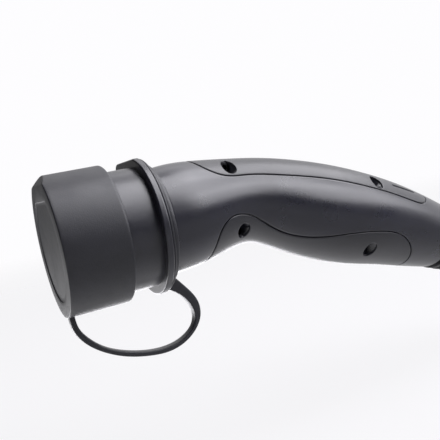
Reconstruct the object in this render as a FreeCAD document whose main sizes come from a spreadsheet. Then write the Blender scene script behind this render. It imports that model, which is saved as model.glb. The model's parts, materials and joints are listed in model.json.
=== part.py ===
import FreeCAD, Part
import math
import os
import re
import Sketcher

# Charging connector for a car, with its rubber dust cap on its tether.
# Frame: millimetres, +X from the tip of the nose along the nose axis towards the handle,
# +Z to the connector's top, +Y to its right side. The origin is the centre of the nose's tip.

DOC = FreeCAD.newDocument("charging_connector")
SHEET = DOC.addObject("Spreadsheet::Sheet", "sizes")

# Driving dimensions
SIZES = {
    # Nose and flange, one moulding
    "nose_radius": 28.0,
    "nose_wall": 2.6,
    "nose_length": 38.3,
    "flat_height": 22.5,
    "flat_length": 24.0,
    "flange_radius": 32.2,
    "flange_width": 3.0,
    "flange_edge": 0.7,
    "flange_top_drop": 0.8,
    "flange_corner_y": 23.0,
    "flange_corner_rounding": 5.0,
    "flange_foot_inset": 3.7,
    "flange_foot_z": 10.0,
    "shoulder_depth": 34.3,
    "shoulder_bore": 20.7,
    "seat_radius": 24.4,
    "spigot_radius": 22.0,
    "spigot_length": 8.5,
    "keeper_setback": 3.0,
    "keeper_width": 2.8,
    "keeper_depth": 0.6,
    "lock_width": 8.0,
    "lock_length": 4.0,
    "lock_depth": 1.6,
    "lock_setback": 9.0,
    # Clearances
    "fit_gap": 0.1,
    "slip_gap": 0.3,
    # Contact carrier, with a sleeve round each contact
    "sleeve_tip": 3.0,
    "carrier_base": 5.0,
    "power_sleeve_radius": 6.25,
    "signal_sleeve_radius": 4.5,
    "contact_setback": 2.0,
    "retainer_thickness": 2.5,
    "gasket_thickness": 0.8,
    # Contacts
    "power_radius": 4.2,
    "power_bore_radius": 3.0,
    "power_collar_radius": 5.2,
    "power_tail_radius": 3.1,
    "power_wire_radius": 2.2,
    "power_tail_length": 15.0,
    "signal_radius": 2.3,
    "signal_bore_radius": 1.5,
    "signal_collar_radius": 3.1,
    "signal_tail_radius": 1.8,
    "signal_wire_radius": 1.0,
    "signal_tail_length": 12.0,
    "socket_depth": 20.0,
    "wire_depth": 9.0,
    "collar_length": 2.0,
    "power_side_y": 17.0,
    "power_low_y": 8.8,
    "power_low_z": -15.0,
    "signal_y": 9.75,
    "signal_z": 13.0,
    # Carrier screws
    "carrier_screw_y": 8.5,
    "carrier_screw_z": 4.6,
    "carrier_screw_low_z": -10.0,
    "carrier_screw_radius": 1.4,
    "carrier_screw_head_radius": 2.5,
    "carrier_screw_head": 1.8,
    "carrier_screw_length": 6.5,
    # Coding board between the earth contact and the proximity contact
    "board_thickness": 1.6,
    "board_setback": 3.6,
    "board_margin": 2.4,
    "resistor_radius": 1.1,
    "resistor_length": 5.5,
    # Dust cap
    "cap_wall": 3.3,
    "cap_face": 3.8,
    "cap_length": 28.2,
    "cap_edge": 0.8,
    "bevel_depth": 3.0,
    "bevel_drop": 4.2,
    "cap_panel_radius": 24.5,
    "cap_panel_flat": 20.5,
    "cap_panel_depth": 0.5,
    # Tether
    "ring_width": 4.2,
    "ring_collar_radius": 31.5,
    "ring_collar_width": 1.1,
    "ring_groove_radius": 27.3,
    "ring_groove_width": 0.6,
    "ring_radius": 28.4,
    "strap_width": 5.0,
    # Handle shells
    "shell_wall": 2.6,
    "end_wall": 3.0,
    "inlay_thickness": 1.2,
    "inlay_gap": 0.45,
    "boss_radius": 6.4,
    "screw_hole_radius": 3.5,
    "screw_head_radius": 3.0,
    "screw_head_height": 2.2,
    "screw_seat": 6.0,
    "screw_radius": 1.5,
    "screw_reach": 8.0,
    "slot_length": 17.0,
    "slot_height": 1.2,
    "slot_x": 136.9,
    "slot_z": -10.5,
    "slot_tilt": 24.0,
    # Cable entry
    "cable_bore_radius": 7.4,
    "clamp_back": 24.0,
    "clamp_width": 9.0,
    "clamp_cover": 2.6,
    "clamp_screw_offset": 10.5,
    "clamp_post_radius": 3.0,
    "clamp_screw_radius": 1.4,
    "clamp_head_radius": 2.7,
    "clamp_head_height": 1.8,
    "clamp_screw_reach": 8.0,
    "clamp_gap": 0.3,
    "boot_flange": 3.2,
    "boot_flange_radius": 15.2,
    "boot_neck_radius": 12.4,
    "boot_start_radius": 18.9,
    "boot_end_radius": 11.6,
    "root_start_radius": 16.0,
    "root_end_radius": 9.8,
    "rib_count": 10.0,
    "rib_pitch": 5.6,
    "rib_width": 2.8,
}

# Places below with an x of their own are measured from the neck, where the handle starts.

# The handle's sections from neck to end: x, z, radius, and the slope of the handle there
STATIONS = [
    (0.0, 0.4, 25.3, 0.0),
    (14.5, 1.52, 25.09, -4.0),
    (29.5, 2.37, 22.96, -2.0),
    (44.5, 2.04, 21.16, 4.0),
    (59.0, -1.2, 21.99, 16.0),
    (72.5, -6.14, 23.76, 21.0),
    (88.5, -12.48, 25.17, 21.3),
    (106.5, -19.35, 25.24, 20.5),
    (125.5, -26.24, 23.72, 20.5),
    (144.5, -34.32, 21.48, 23.0),
    (162.0, -42.39, 18.7, 28.0),
]
LAST = len(STATIONS)

# Centres of the four shell screws: x, z
SCREWS = [(36.4, 19.5), (117.7, -3.4), (36.2, -11.2), (104.4, -36.5)]

# Edge of the upper grip inlay, seen from the side: x, z
UPPER_EDGE = [
    (17.5, 31.0), (22.1, 22.7), (29.9, 16.4), (43.0, 14.0), (60.2, 10.7), (77.8, 6.3), (92.9, 1.6),
    (110.4, -5.2), (126.1, -12.2), (138.4, -18.4), (144.7, -20.5), (151.9, -19.0), (160.5, -12.0),
]
# Edge of the lower grip inlay, seen from the side: x, z
LOWER_EDGE = [
    (12.5, -32.0), (19.5, -16.5), (23.1, -7.3), (28.7, -3.1), (36.6, -3.2), (46.8, -9.1),
    (57.3, -16.6), (71.7, -22.3), (93.1, -25.1), (108.0, -27.4), (119.8, -31.0), (128.7, -38.3),
    (132.3, -47.7), (130.5, -60.0),
]
# Middle line of the tether strap in the connector's middle plane: x, z and half its thickness.
# The first points lie by the cap, and their x is measured from the tip of the nose.
STRAP_BY_CAP = [
    (-1.6, -30.5, 1.2), (-0.8, -37.9, 1.3), (1.8, -42.6, 1.4), (9.5, -50.0, 1.15),
    (19.0, -54.9, 1.15),
]
STRAP_BY_NECK = [
    (-16.2, -57.8, 1.1), (-5.6, -58.5, 1.15), (-0.35, -57.4, 1.05), (4.5, -55.1, 0.95),
    (8.5, -51.5, 1.0), (10.6, -46.7, 1.5), (10.35, -41.5, 1.95), (8.1, -36.7, 2.1),
    (4.9, -32.7, 2.4), (0.6, -28.5, 3.2), (-1.6, -26.4, 3.4),
]
STRAP_LINE = STRAP_BY_CAP + STRAP_BY_NECK


def fill_sheet():
    """Writes every driving dimension into the sheet, one row each."""
    from_neck = "=neck_x + %.4f"
    rows = {alias: "%.4f" % value for alias, value in SIZES.items()}
    rows["neck_x"] = "=nose_length + flange_width + ring_width"
    rows["cap_radius"] = "=nose_radius + slip_gap + cap_wall"
    for number, (x, z, radius, tilt) in enumerate(STATIONS, 1):
        rows["station%d_x" % number] = from_neck % x
        rows["station%d_z" % number] = "%.4f" % z
        rows["station%d_radius" % number] = "%.4f" % radius
        rows["station%d_tilt" % number] = "%.4f" % tilt
    places = [("screw%d", SCREWS), ("upper_point%d", UPPER_EDGE), ("lower_point%d", LOWER_EDGE)]
    for name, points in places:
        for number, (x, z) in enumerate(points, 1):
            rows[name % number + "_x"] = from_neck % x
            rows[name % number + "_z"] = "%.4f" % z
    for number, (x, z, half) in enumerate(STRAP_LINE, 1):
        by_cap = number <= len(STRAP_BY_CAP)
        rows["strap_point%d_x" % number] = "%.4f" % x if by_cap else from_neck % x
        rows["strap_point%d_z" % number] = "%.4f" % z
        rows["strap_point%d_half" % number] = "%.4f" % half
    for number, (alias, content) in enumerate(rows.items(), 1):
        SHEET.set("A%d" % number, alias)
        SHEET.set("B%d" % number, content)
        SHEET.setAlias("B%d" % number, alias)
    DOC.recompute()


def size(alias):
    """The value of one driving dimension, as the sheet holds it."""
    return float(SHEET.get(alias))


def points_of(name, count):
    """The points of one outline, as the sheet holds them."""
    return [
        (size("%s_point%d_x" % (name, k)), size("%s_point%d_z" % (name, k)))
        for k in range(1, count + 1)
    ]


def linked(text):
    """An expression in which each alias points to its cell: sin, cos and min stay functions."""
    functions = r"sin\b|cos\b|min\b"
    return re.sub(
        r"\b(?!%s)[a-z][a-z0-9_]*" % functions, lambda m: "sizes." + m.group(0), text
    )


def bind(thing, **sizes):
    """Ties properties to expressions of aliases. A double underscore in a name is a dot."""
    for key, text in sizes.items():
        thing.setExpression(key.replace("__", "."), linked(text))
    return thing


# Sketches and bodies


def new_body(name):
    return DOC.addObject("PartDesign::Body", name)


def plane_of(body, role):
    return next(f for f in body.Origin.OriginFeatures if f.Role == role)


def new_sketch(body, name, role, offset=None):
    """A sketch on one of the body's own planes, moved along its normal by an expression."""
    sketch = body.newObject("Sketcher::SketchObject", name)
    sketch.AttachmentSupport = [(plane_of(body, role), "")]
    sketch.MapMode = "FlatFace"
    if offset:
        sketch.setExpression("AttachmentOffset.Base.z", linked(offset))
    return sketch


def pin_point(sketch, geometry, end, across, up):
    """Holds one point of a sketch at two expressions from its origin."""
    for kind, text in (("DistanceX", across), ("DistanceY", up)):
        index = sketch.addConstraint(Sketcher.Constraint(kind, -1, 1, geometry, end, 1.0))
        sketch.setExpression("Constraints[%d]" % index, linked(text))


def polygon(sketch, corners):
    """A closed outline whose corners are pairs of expressions."""
    count = len(corners)
    start = [
        FreeCAD.Vector(math.cos(2 * math.pi * k / count), math.sin(2 * math.pi * k / count), 0)
        for k in range(count)
    ]
    for k in range(count):
        sketch.addGeometry(Part.LineSegment(start[k], start[(k + 1) % count]))
    for k in range(count):
        sketch.addConstraint(Sketcher.Constraint("Coincident", k, 2, (k + 1) % count, 1))
    for k, (across, up) in enumerate(corners):
        pin_point(sketch, k, 1, across, up)


def flat_circle(sketch, radius, flat):
    """A circle with a flat top: an arc and a chord at a height."""
    rough_radius = 20.0
    rough_flat = 15.0
    half = math.asin(rough_flat / rough_radius)
    circle = Part.Circle(FreeCAD.Vector(0, 0, 0), FreeCAD.Vector(0, 0, 1), rough_radius)
    sketch.addGeometry(Part.ArcOfCircle(circle, math.pi - half, 2 * math.pi + half))
    reach = rough_radius * math.cos(half)
    chord = Part.LineSegment(
        FreeCAD.Vector(reach, rough_flat, 0), FreeCAD.Vector(-reach, rough_flat, 0)
    )
    sketch.addGeometry(chord)
    sketch.addConstraint(Sketcher.Constraint("Coincident", 0, 2, 1, 1))
    sketch.addConstraint(Sketcher.Constraint("Coincident", 1, 2, 0, 1))
    sketch.addConstraint(Sketcher.Constraint("Coincident", 0, 3, -1, 1))
    sketch.addConstraint(Sketcher.Constraint("Horizontal", 1))
    index = sketch.addConstraint(Sketcher.Constraint("Radius", 0, rough_radius))
    sketch.setExpression("Constraints[%d]" % index, linked(radius))
    index = sketch.addConstraint(Sketcher.Constraint("DistanceY", -1, 1, 1, 1, rough_flat))
    sketch.setExpression("Constraints[%d]" % index, linked(flat))


def circles(sketch, rings):
    """Circles, each a centre across and up and a radius, all expressions."""
    apart = size("nose_radius")
    for k, (across, up, radius) in enumerate(rings):
        centre = FreeCAD.Vector(apart * k, apart, 0)
        sketch.addGeometry(Part.Circle(centre, FreeCAD.Vector(0, 0, 1), 1.0))
        index = sketch.addConstraint(Sketcher.Constraint("Radius", k, 1.0))
        sketch.setExpression("Constraints[%d]" % index, linked(radius))
        pin_point(sketch, k, 3, across, up)


def revolve(body, name, corners):
    """Turns an outline of (x, radius) corners round the X axis."""
    sketch = new_sketch(body, name + "_profile", "XZ_Plane")
    polygon(sketch, corners)
    turned = body.newObject("PartDesign::Revolution", name)
    turned.Profile = sketch
    turned.ReferenceAxis = (sketch, ["H_Axis"])
    turned.Angle = 360
    DOC.recompute()
    return turned


def pad(body, name, sketch, length):
    feature = body.newObject("PartDesign::Pad", name)
    feature.Profile = sketch
    feature.setExpression("Length", linked(length))
    DOC.recompute()
    return feature


def pocket(body, name, sketch, length=None):
    """Cuts towards +X by a length, or both ways through everything."""
    before = body.Shape.Volume
    feature = body.newObject("PartDesign::Pocket", name)
    feature.Profile = sketch
    if length:
        feature.Reversed = True
        feature.setExpression("Length", linked(length))
    else:
        feature.SideType = "Symmetric"
        feature.Type = "ThroughAll"
    DOC.recompute()
    if feature.Shape.Volume >= before:
        raise RuntimeError(name + " cuts nothing")
    return feature


def soften(body, name, kind, width, wanted):
    """A fillet or chamfer on the edges of the body's tip that pass a test."""
    base = body.Tip
    edges = ["Edge%d" % k for k, edge in enumerate(base.Shape.Edges, 1) if wanted(edge)]
    feature = body.newObject(kind, name)
    feature.Base = (base, edges)
    feature.setExpression("Radius" if "Fillet" in kind else "Size", linked(width))
    DOC.recompute()
    return feature


def ring_edge(x, radius):
    """A test for the round edge of a radius at a place along the axis."""

    def test(edge):
        curve = edge.Curve
        if not isinstance(curve, Part.Circle):
            return False
        return abs(curve.Center.x - x) < 0.01 and abs(curve.Radius - radius) < 0.01

    return test


def rim_edge(x, inner):
    """A test for the outer edges of a flat face across the axis, past its inner radius."""

    def test(edge):
        box = edge.BoundBox
        flat = abs(box.XMin - x) < 0.01 and abs(box.XMax - x) < 0.01
        return flat and not ring_edge(x, size(inner))(edge)

    return test


# Nose, carrier and contacts

POWER = {
    "contact_earth": ("0", "0"),
    "contact_neutral": ("power_side_y", "0"),
    "contact_line_1": ("-power_side_y", "0"),
    "contact_line_2": ("-power_low_y", "power_low_z"),
    "contact_line_3": ("power_low_y", "power_low_z"),
}
SIGNAL = {
    "contact_proximity": ("-signal_y", "signal_z"),
    "contact_pilot": ("signal_y", "signal_z"),
}
CARRIER_SCREWS = [
    ("carrier_screw_y", "carrier_screw_z"),
    ("-carrier_screw_y", "carrier_screw_z"),
    ("0", "carrier_screw_low_z"),
]
GASKET_X = "shoulder_depth - gasket_thickness"
RETAINER_X = GASKET_X + " - retainer_thickness"
CARRIER_X = RETAINER_X + " - carrier_base"
INNER_RADIUS = "nose_radius - nose_wall - fit_gap"
INNER_FLAT = "flat_height - nose_wall - fit_gap"
KEEPER_X = "neck_x + keeper_setback"
SCREW_DEPTH = "carrier_screw_length - fit_gap"


def nose_housing():
    body = new_body("nose_housing")
    flange_rear = "nose_length + flange_width"
    spigot_end = "neck_x + spigot_length"
    keeper = "spigot_radius - keeper_depth"
    keeper_end = KEEPER_X + " + keeper_width"
    corners = [
        ("0", "0"),
        ("0", "nose_radius"),
        ("nose_length", "nose_radius"),
        ("nose_length", "flange_radius"),
        (flange_rear, "flange_radius"),
        (flange_rear, "seat_radius"),
        ("neck_x", "seat_radius"),
        ("neck_x", "spigot_radius"),
        (KEEPER_X, "spigot_radius"),
        (KEEPER_X, keeper),
        (keeper_end, keeper),
        (keeper_end, "spigot_radius"),
        (spigot_end, "spigot_radius"),
        (spigot_end, "shoulder_bore"),
        ("shoulder_depth", "shoulder_bore"),
        ("shoulder_depth", "0"),
    ]
    revolve(body, "nose_turned", corners)
    flat = new_sketch(body, "nose_flat", "XZ_Plane")
    polygon(
        flat,
        [
            ("-nose_wall", "flat_height"),
            ("flat_length", "flat_height"),
            ("flat_length", "nose_radius + nose_wall"),
            ("-nose_wall", "nose_radius + nose_wall"),
        ],
    )
    pocket(body, "nose_flat_cut", flat)
    cavity = new_sketch(body, "nose_cavity", "YZ_Plane")
    flat_circle(cavity, "nose_radius - nose_wall", "flat_height - nose_wall")
    pocket(body, "nose_cavity_cut", cavity, "shoulder_depth")
    lock = new_sketch(body, "lock_notch", "XY_Plane", "flat_height - lock_depth")
    half = "lock_width / 2"
    polygon(
        lock,
        [
            ("lock_setback", "-" + half),
            ("lock_setback + lock_length", "-" + half),
            ("lock_setback + lock_length", half),
            ("lock_setback", half),
        ],
    )
    pocket(body, "lock_notch_cut", lock, "nose_wall + lock_depth")
    flange_corner(body)
    return body


def flange_corner(body):
    """The flange's flat top, which runs out to a rounded corner on the right side."""
    top = "flange_radius - flange_top_drop"
    over = "flange_radius + flange_top_drop"
    flat = new_sketch(body, "flange_top", "YZ_Plane", "nose_length")
    reach = ("-flange_radius", "flange_radius")
    polygon(flat, [(reach[0], top), (reach[1], top), (reach[1], over), (reach[0], over)])
    pocket(body, "flange_top_cut", flat, "flange_width")
    corner = new_sketch(body, "flange_corner_outline", "YZ_Plane", "nose_length")
    foot = ("flange_radius - flange_foot_inset", "flange_foot_z")
    polygon(corner, [("0", top), ("flange_corner_y", top), foot])
    pad(body, "flange_corner_pad", corner, "flange_width")
    height = size("flange_radius") - size("flange_top_drop")
    soften(
        body,
        "flange_corner_round",
        "PartDesign::Fillet",
        "flange_corner_rounding",
        lambda e: all(
            abs(v.Y - size("flange_corner_y")) + abs(v.Z - height) < 0.01 for v in e.Vertexes
        ),
    )
    front = size("nose_length")
    rear = front + size("flange_width")
    soften(
        body,
        "flange_rounding",
        "PartDesign::Fillet",
        "flange_edge",
        lambda e: rim_edge(front, "nose_radius")(e) or rim_edge(rear, "seat_radius")(e),
    )


def contact_carrier():
    body = new_body("contact_carrier")
    base = new_sketch(body, "carrier_outline", "YZ_Plane", CARRIER_X)
    flat_circle(base, INNER_RADIUS, INNER_FLAT)
    pad(body, "carrier_disc", base, "carrier_base")
    seats = new_sketch(body, "seat_outline", "YZ_Plane", CARRIER_X)
    rings = [(y, z, "power_radius + fit_gap") for y, z in POWER.values()]
    rings += [(y, z, "signal_radius + fit_gap") for y, z in SIGNAL.values()]
    circles(seats, rings)
    pocket(body, "carrier_seats", seats, "shoulder_depth")
    collars = new_sketch(body, "collar_outline", "YZ_Plane", RETAINER_X + " - collar_length")
    rings = [(y, z, "power_collar_radius + fit_gap") for y, z in POWER.values()]
    rings += [(y, z, "signal_collar_radius + fit_gap") for y, z in SIGNAL.values()]
    circles(collars, rings)
    pocket(body, "carrier_collars", collars, "shoulder_depth")
    pilots = new_sketch(body, "pilot_outline", "YZ_Plane", "%s - %s" % (GASKET_X, SCREW_DEPTH))
    circles(pilots, [(y, z, "carrier_screw_radius + fit_gap") for y, z in CARRIER_SCREWS])
    pocket(body, "carrier_pilots", pilots, "shoulder_depth")
    return body


def contact_sleeve(name, place, kind):
    """One tube in front of the carrier, round one contact, open to the front."""
    body = new_body(name)
    rear = CARRIER_X + " - fit_gap"
    bore = kind + "_radius + fit_gap"
    outside = kind + "_sleeve_radius"
    corners = [("sleeve_tip", bore), ("sleeve_tip", outside), (rear, outside), (rear, bore)]
    revolve(body, name + "_turned", corners)
    bind(body, Placement__Base__y=place[0], Placement__Base__z=place[1])
    return body


def contact_retainer():
    body = new_body("contact_retainer")
    disc = new_sketch(body, "retainer_outline", "YZ_Plane", RETAINER_X)
    flat_circle(disc, INNER_RADIUS, INNER_FLAT)
    pad(body, "retainer_disc", disc, "retainer_thickness")
    holes = new_sketch(body, "retainer_holes", "YZ_Plane", RETAINER_X)
    rings = [(y, z, "power_tail_radius + fit_gap") for y, z in POWER.values()]
    rings += [(y, z, "signal_tail_radius + fit_gap") for y, z in SIGNAL.values()]
    rings += [(y, z, "carrier_screw_radius + fit_gap") for y, z in CARRIER_SCREWS]
    circles(holes, rings)
    pocket(body, "retainer_drilled", holes, "shoulder_depth")
    return body


def carrier_gasket():
    body = new_body("carrier_gasket")
    disc = new_sketch(body, "gasket_outline", "YZ_Plane", GASKET_X)
    flat_circle(disc, INNER_RADIUS, INNER_FLAT)
    pad(body, "gasket_disc", disc, "gasket_thickness")
    hole = new_sketch(body, "gasket_hole", "YZ_Plane", GASKET_X)
    circles(hole, [("0", "0", "shoulder_bore")])
    pocket(body, "gasket_opened", hole, "shoulder_depth")
    return body


def contact(name, place, kind):
    """One turned contact: socket in front, collar in the carrier, wire barrel behind."""
    body = new_body(name)
    front = "sleeve_tip + contact_setback"
    collar_front = RETAINER_X + " - collar_length"
    tail_end = RETAINER_X + " + KIND_tail_length"
    corners = [
        (front, "KIND_bore_radius"),
        (front, "KIND_radius"),
        (collar_front + " + fit_gap", "KIND_radius"),
        (collar_front + " + fit_gap", "KIND_collar_radius"),
        (RETAINER_X, "KIND_collar_radius"),
        (RETAINER_X, "KIND_tail_radius"),
        (tail_end, "KIND_tail_radius"),
        (tail_end, "KIND_wire_radius"),
        (tail_end + " - wire_depth", "KIND_wire_radius"),
        (tail_end + " - wire_depth", "0"),
        (front + " + socket_depth", "0"),
        (front + " + socket_depth", "KIND_bore_radius"),
    ]
    corners = [(x.replace("KIND", kind), r.replace("KIND", kind)) for x, r in corners]
    revolve(body, name + "_turned", corners)
    bind(body, Placement__Base__y=place[0], Placement__Base__z=place[1])
    return body


# Part primitives


def cylinder(name, radius, height, axis, x="0", y="0", z="0", tilt=None):
    """A cylinder from a place along X, Y or -Y, tilted in the middle plane if asked."""
    thing = DOC.addObject("Part::Cylinder", name)
    turns = {
        "X": FreeCAD.Rotation(FreeCAD.Vector(0, 1, 0), 90),
        "Y": FreeCAD.Rotation(FreeCAD.Vector(1, 0, 0), -90),
        "-Y": FreeCAD.Rotation(FreeCAD.Vector(1, 0, 0), 90),
    }
    thing.Placement = FreeCAD.Placement(FreeCAD.Vector(0, 0, 0), turns[axis])
    bind(thing, Radius=radius, Height=height)
    bind(thing, Placement__Base__x=x, Placement__Base__y=y, Placement__Base__z=z)
    if tilt:
        thing.setExpression("Placement.Rotation.Angle", linked("90 + " + tilt))
    return thing


def union(name, things):
    fused = DOC.addObject("Part::MultiFuse", name)
    fused.Shapes = things
    fused.Refine = False
    return fused


def overlap(name, things):
    common = DOC.addObject("Part::MultiCommon", name)
    common.Shapes = things
    common.Refine = False
    return common


def cut(name, base, tool):
    result = DOC.addObject("Part::Cut", name)
    result.Base = base
    result.Tool = tool
    result.Refine = False
    return result


def group(name, things):
    compound = DOC.addObject("Part::Compound", name)
    compound.Links = things
    return compound


def carrier_screws():
    """Three screws that hold the retainer to the carrier, heads to the rear."""
    screws = []
    for k, (y, z) in enumerate(CARRIER_SCREWS, 1):
        head = cylinder(
            "carrier_screw_head%d" % k,
            "carrier_screw_head_radius",
            "carrier_screw_head",
            "X",
            GASKET_X,
            y,
            z,
        )
        shank = cylinder(
            "carrier_screw_shank%d" % k,
            "carrier_screw_radius",
            "carrier_screw_length",
            "X",
            GASKET_X + " - carrier_screw_length + fit_gap",
            y,
            z,
        )
        screws.append(union("carrier_screw%d" % k, [head, shank]))
    return group("carrier_screws", screws)


def coding_board():
    """A small board that joins the proximity contact to earth through a resistor."""
    board_x = GASKET_X + " + board_setback"
    top = ("-signal_y", "signal_z", "signal_tail_radius")
    bottom = ("0", "0", "power_tail_radius")
    pads = [
        cylinder("board_end%d" % k, tail + " + board_margin", "board_thickness", "X", board_x, y, z)
        for k, (y, z, tail) in enumerate((top, bottom), 1)
    ]
    bridge = DOC.addObject("Part::Box", "board_bridge")
    half = "signal_tail_radius + board_margin"
    turn = math.degrees(math.atan2(size("signal_y"), size("signal_z")))
    bridge.Placement.Rotation = FreeCAD.Rotation(FreeCAD.Vector(1, 0, 0), turn)
    bind(bridge, Length="board_thickness", Width="2 * (%s)" % half)
    reach = "(signal_y ^ 2 + signal_z ^ 2) ^ 0.5"
    bind(bridge, Height=reach, Placement__Base__x=board_x)
    bind(
        bridge,
        Placement__Base__y="-(%s) * signal_z / %s" % (half, reach),
        Placement__Base__z="-(%s) * signal_y / %s" % (half, reach),
    )
    holes = [
        cylinder("board_hole%d" % k, tail + " + fit_gap", "3 * board_thickness", "X", x, y, z)
        for k, (y, z, tail, x) in enumerate(
            ((*top, board_x + " - board_thickness"), (*bottom, board_x + " - board_thickness")), 1
        )
    ]
    resistor = cylinder(
        "board_resistor",
        "resistor_radius",
        "resistor_length",
        "Y",
        board_x + " + board_thickness + resistor_radius / 2",
        "-signal_y / 2 - resistor_length / 2",
        "signal_z / 2",
    )
    plate = union("board_plate", pads + [bridge, resistor])
    return cut("coding_board", plate, union("board_holes", holes))


# Dust cap and tether


def dust_cap():
    body = new_body("dust_cap")
    face = "-cap_face - slip_gap"
    rear = face + " + cap_length"
    cavity = "nose_radius + slip_gap"
    corners = [
        (face, "0"),
        (face, "cap_radius"),
        (rear, "cap_radius"),
        (rear, cavity),
        ("-slip_gap", cavity),
        ("-slip_gap", "0"),
    ]
    revolve(body, "cap_turned", corners)
    bevel = new_sketch(body, "cap_bevel", "XZ_Plane")
    polygon(
        bevel,
        [
            (face, "cap_radius - bevel_drop"),
            (face + " + bevel_depth", "cap_radius"),
            (face + " + bevel_depth", "cap_radius + bevel_drop"),
            (face + " - bevel_depth", "cap_radius + bevel_drop"),
            (face + " - bevel_depth", "cap_radius - bevel_drop"),
        ],
    )
    pocket(body, "cap_bevel_cut", bevel)
    panel = new_sketch(body, "cap_panel", "YZ_Plane", face)
    flat_circle(panel, "cap_panel_radius", "cap_panel_flat")
    pocket(body, "cap_panel_cut", panel, "cap_panel_depth")
    x_rear = size("cap_length") - size("cap_face") - size("slip_gap")
    soften(
        body,
        "cap_rim_rounding",
        "PartDesign::Fillet",
        "min(cap_edge; cap_wall / 2)",
        ring_edge(x_rear, size("cap_radius")),
    )
    return body


def tether_ring():
    """The rubber ring of the tether, behind the flange."""
    body = new_body("tether_ring")
    front = "nose_length + flange_width + fit_gap"
    rear = "neck_x - fit_gap"
    inner = "seat_radius + fit_gap"
    groove = front + " + ring_collar_width"
    groove_end = groove + " + ring_groove_width"
    corners = [
        (front, inner),
        (front, "ring_collar_radius"),
        (groove, "ring_collar_radius"),
        (groove, "ring_groove_radius"),
        (groove_end, "ring_groove_radius"),
        (groove_end, "ring_radius"),
        (rear, "ring_radius"),
        (rear, inner),
    ]
    revolve(body, "ring_turned", corners)
    return body


def smooth(points):
    """A smooth curve in the middle plane through (x, z) points."""
    curve = Part.BSplineCurve()
    curve.interpolate([FreeCAD.Vector(x, 0, z) for x, z in points])
    return curve


def beside(points, distances):
    """The points moved sideways from their smooth curve, each by its own distance."""
    curve = smooth(points)
    moved = []
    for (x, z), distance in zip(points, distances):
        tangent = curve.tangent(curve.parameter(FreeCAD.Vector(x, 0, z)))[0]
        moved.append((x - tangent.z * distance, z + tangent.x * distance))
    return moved


def line(a, b):
    return Part.makeLine(FreeCAD.Vector(a[0], 0, a[1]), FreeCAD.Vector(b[0], 0, b[1]))


def upright(face, half):
    """A face in the middle plane made into a solid, by half its width to each side."""
    face.translate(FreeCAD.Vector(0, -half, 0))
    return face.extrude(FreeCAD.Vector(0, 2 * half, 0))


def feature(name, shape):
    thing = DOC.addObject("Part::Feature", name)
    thing.Shape = shape
    return thing


def tether_strap():
    """The loop from the ring to the cap, a flat band that widens towards its root."""
    points = points_of("strap", len(STRAP_LINE))
    widths = [size("strap_point%d_half" % k) for k in range(1, len(points) + 1)]
    outer = beside(points, widths)
    inner = beside(points, [-w for w in widths])
    edges = [
        smooth(outer).toShape(),
        line(outer[-1], inner[-1]),
        smooth(inner).toShape(),
        line(inner[0], outer[0]),
    ]
    wire = Part.Wire(Part.__sortEdges__(edges))
    band = feature("strap_band", upright(Part.Face(wire), size("strap_width") / 2))
    cap_face = "-cap_face - 2 * slip_gap"
    cap_room = cylinder(
        "strap_cap_room", "cap_radius + slip_gap", "cap_length", "X", cap_face
    )
    ring_room = cylinder(
        "strap_ring_room",
        "ring_radius",
        "neck_x - fit_gap - nose_length",
        "X",
        "nose_length",
    )
    neck_room = cylinder(
        "strap_neck_room",
        "station1_radius + slip_gap",
        "station2_x - neck_x",
        "X",
        "neck_x - fit_gap",
    )
    flange_room = cylinder(
        "strap_flange_room",
        "flange_radius + slip_gap",
        "flange_width + fit_gap + ring_collar_width",
        "X",
        "nose_length",
    )
    room = union("strap_room", [cap_room, ring_room, neck_room, flange_room])
    return cut("tether_strap", band, room)


# Handle


def handle_form(name, shrink, rear_back="0"):
    """The handle's outer form, drawn in by an amount, as one loft through its sections."""
    sections = []
    for k in range(1, LAST + 1):
        ring = DOC.addObject("Part::Circle", "%s_section%d" % (name, k))
        ring.Placement.Rotation = FreeCAD.Rotation(FreeCAD.Vector(0, 1, 0), 90)
        tilt = "station%d_tilt" % k
        back = rear_back if k == LAST else "0"
        bind(
            ring,
            Radius="station%d_radius - (%s)" % (k, shrink),
            Placement__Base__x="station%d_x - (%s) * cos(%s)" % (k, back, tilt),
            Placement__Base__z="station%d_z + (%s) * sin(%s)" % (k, back, tilt),
            Placement__Rotation__Angle="90 + " + tilt,
        )
        sections.append(ring)
    loft = DOC.addObject("Part::Loft", name)
    loft.Sections = sections
    loft.Solid = True
    return loft


def drilled(name, solid, holes):
    """Cuts the holes one after another, and stops if one of them cuts nothing."""
    for number, hole in enumerate(holes, 1):
        before = solid
        last = number == len(holes)
        solid = cut(name if last else "%s_step%d" % (name, number), before, hole)
        DOC.recompute()
        if solid.Shape.Volume >= before.Shape.Volume - 1:
            raise RuntimeError("%s cuts nothing from %s" % (hole.Name, name))
    return solid


def half_space(name, side):
    """A block that holds all of one side of the handle: -1 is the left, 1 the right."""
    block = DOC.addObject("Part::Box", name)
    reach = "station%d_x + flange_radius" % LAST
    bind(block, Length=reach, Width="2 * flange_radius", Height="6 * flange_radius")
    low = "-2 * flange_radius" if side < 0 else "0"
    bind(block, Placement__Base__y=low, Placement__Base__z="-4 * flange_radius")
    return block


def inlay_form(name, outline, count, closing_z, gap):
    """The prism over one inlay, drawn in by a gap from the edge of its recess."""
    points = points_of(outline, count)
    sideways = gap if outline == "upper" else -gap
    edge = beside(points, [sideways] * count)
    first = (edge[0][0], closing_z)
    last = (edge[-1][0], closing_z)
    edges = [smooth(edge).toShape(), line(edge[-1], last), line(last, first), line(first, edge[0])]
    wire = Part.Wire(Part.__sortEdges__(edges))
    return feature(name, upright(Part.Face(wire), size("flange_radius")))


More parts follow.
